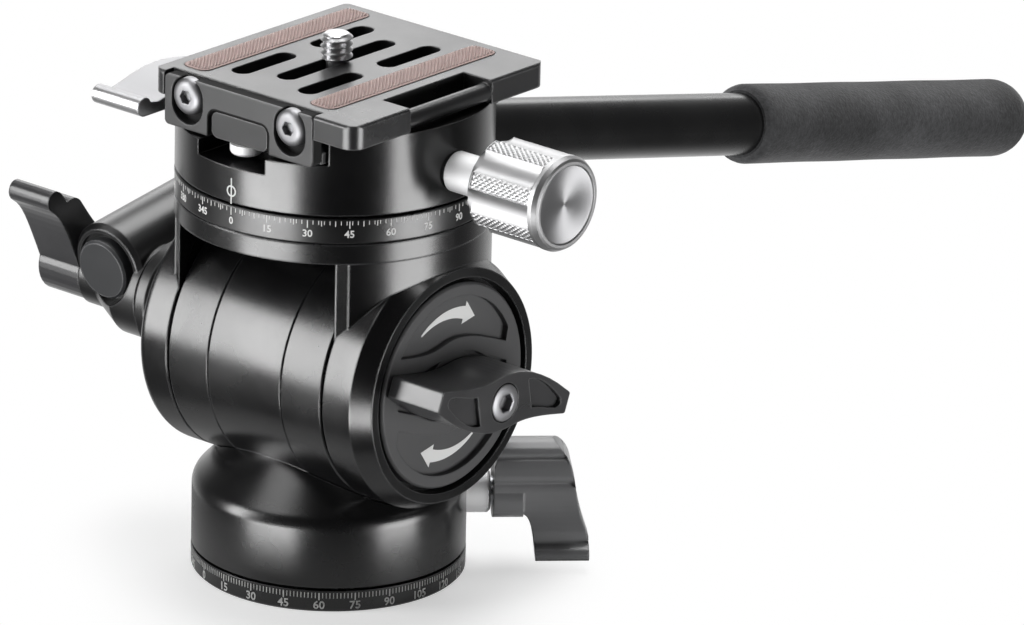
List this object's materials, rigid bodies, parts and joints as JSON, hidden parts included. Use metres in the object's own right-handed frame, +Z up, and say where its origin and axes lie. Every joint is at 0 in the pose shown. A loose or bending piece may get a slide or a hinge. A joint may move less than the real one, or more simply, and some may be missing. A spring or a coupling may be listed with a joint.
{
  "type": "fluid video head",
  "caption": "Black fluid video head: round pan base, tilt drum in a yoke, panning quick-release clamp with plate, winged lock levers and a bent pan handle with a foam grip.",
  "frame": {"origin": "centre of the tripod thread's mouth in the base's underside", "axes": "X is the tilt axis with the tilt lever on +X, +Y points back along the handle, +Z is up"},
  "size_m": [0.1319, 0.3193, 0.1095],
  "materials": {
    "black_anodised": "satin",
    "lever_black": "satin",
    "plate_grey": "satin",
    "bright_silver": "polished",
    "steel": "brushed",
    "bronze": "satin",
    "white_polymer": "matte",
    "brown_pad": "matte",
    "friction_black": "matte",
    "foam": "matte"
  },
  "bodies": {
    "base": {"base_plate": "black_anodised", "thread_insert": "steel", "pan_thrust_washer": "white_polymer", "pan_brake_disc": "steel"},
    "pan_body": {"pan_housing": "black_anodised", "drag_ring_left": "black_anodised", "drag_ring_right": "black_anodised", "shaft_bush_left": "bronze", "shaft_bush_right": "bronze", "pan_lock_collar": "bright_silver"},
    "pan_lock": {"pan_lock_lever": "lever_black", "pan_lock_screw": "steel"},
    "pan_brake": {"pan_brake_shoe": "bronze"},
    "tilt": {"yoke": "black_anodised", "scale_ring": "black_anodised", "tilt_shaft": "steel", "damper_rotor_left": "steel", "damper_rotor_right": "steel", "tilt_cover": "black_anodised", "handle_boss": "black_anodised", "top_spindle": "steel", "spindle_cap": "steel"},
    "tilt_lock": {"tilt_lever": "lever_black", "tilt_lever_screw": "bright_silver"},
    "handle": {"handle_block": "black_anodised", "handle_plug": "lever_black", "friction_washer": "friction_black", "handle_tube": "black_anodised", "handle_grip": "foam"},
    "handle_lock": {"handle_lever": "lever_black", "handle_bolt": "steel"},
    "top_pan": {"clamp_body": "black_anodised", "clamp_thrust_washer": "white_polymer", "jaw_guide_pins": "steel", "lever_pin": "steel"},
    "pan_knob": {"lock_knob": "bright_silver", "knob_stem": "bright_silver"},
    "clamp_brake": {"clamp_brake_pad": "bronze"},
    "release": {"release_lever": "lever_black"},
    "jaw": {"moving_jaw": "black_anodised"},
    "plate": {"qr_plate": "plate_grey", "plate_pad_left": "brown_pad", "plate_pad_right": "brown_pad", "stop_screws": "bright_silver", "fence_screws": "bright_silver"},
    "fence": {"fence": "plate_grey"},
    "screw_slider": {"screw_washer": "plate_grey"},
    "camera_screw": {"camera_screw": "bright_silver"}
  },
  "joints": [
    {"name": "base_pan", "type": "hinge", "parent": "base", "child": "pan_body", "pos_m": [0, 0, 0.0048], "axis": [0, 0, 1], "continuous": true},
    {"name": "pan_lock_turn", "type": "hinge", "parent": "pan_body", "child": "pan_lock", "pos_m": [0.02334, 0.02334, 0.0147], "axis": [-0.7071, -0.7071, 0], "range_deg": [0, 100]},
    {"name": "pan_brake_slide", "type": "slide", "parent": "pan_body", "child": "pan_brake", "axis": [-0.7071, -0.7071, 0], "range_m": [0, 0.00026]},
    {"name": "tilt", "type": "hinge", "parent": "pan_body", "child": "tilt", "pos_m": [0, 0, 0.045], "axis": [1, 0, 0], "range_deg": [-75, 90]},
    {"name": "tilt_lock_turn", "type": "hinge", "parent": "tilt", "child": "tilt_lock", "pos_m": [0.038, 0, 0.045], "axis": [-1, 0, 0], "range_deg": [0, 110]},
    {"name": "handle_angle", "type": "hinge", "parent": "tilt", "child": "handle", "pos_m": [-0.0525, 0, 0.045], "axis": [1, 0, 0], "range_deg": [-60, 20]},
    {"name": "handle_lock_turn", "type": "hinge", "parent": "handle", "child": "handle_lock", "pos_m": [-0.0675, 0, 0.045], "axis": [1, 0, 0], "range_deg": [0, 100]},
    {"name": "top_pan", "type": "hinge", "parent": "tilt", "child": "top_pan", "pos_m": [0, 0, 0.0827], "axis": [0, 0, 1], "continuous": true},
    {"name": "pan_knob_turn", "type": "hinge", "parent": "top_pan", "child": "pan_knob", "pos_m": [0.041, 0, 0.08885], "axis": [-1, 0, 0], "range_deg": [0, 90]},
    {"name": "clamp_brake_slide", "type": "slide", "parent": "top_pan", "child": "clamp_brake", "axis": [-1, 0, 0], "range_m": [0, 0.00026]},
    {"name": "release_turn", "type": "hinge", "parent": "top_pan", "child": "release", "pos_m": [-0.027, 0, 0.095], "axis": [0, 0, 1], "range_deg": [-100, 0]},
    {"name": "jaw_slide", "type": "slide", "parent": "top_pan", "child": "jaw", "axis": [1, 0, 0], "range_m": [-0.00221, 0]},
    {"name": "plate_slide", "type": "slide", "parent": "top_pan", "child": "plate", "axis": [0, 1, 0], "range_m": [-0.0035, 0.0035]},
    {"name": "fence_slide", "type": "slide", "parent": "plate", "child": "fence", "axis": [0, 0, 1], "range_m": [0, 0.0015]},
    {"name": "screw_slide", "type": "slide", "parent": "plate", "child": "screw_slider", "axis": [0, 1, 0], "range_m": [-0.013, 0.013]},
    {"name": "camera_screw_turn", "type": "hinge", "parent": "screw_slider", "child": "camera_screw", "pos_m": [0, 0, 0.1], "axis": [0, 0, 1], "continuous": true}
  ],
  "couplings": [
    {"joint": "pan_brake_slide", "follows": "pan_lock_turn", "m_per_rad": 0.00014324},
    {"joint": "clamp_brake_slide", "follows": "pan_knob_turn", "m_per_rad": 0.00015915},
    {"joint": "jaw_slide", "follows": "release_turn", "m_per_rad": 0.0012605}
  ]
}
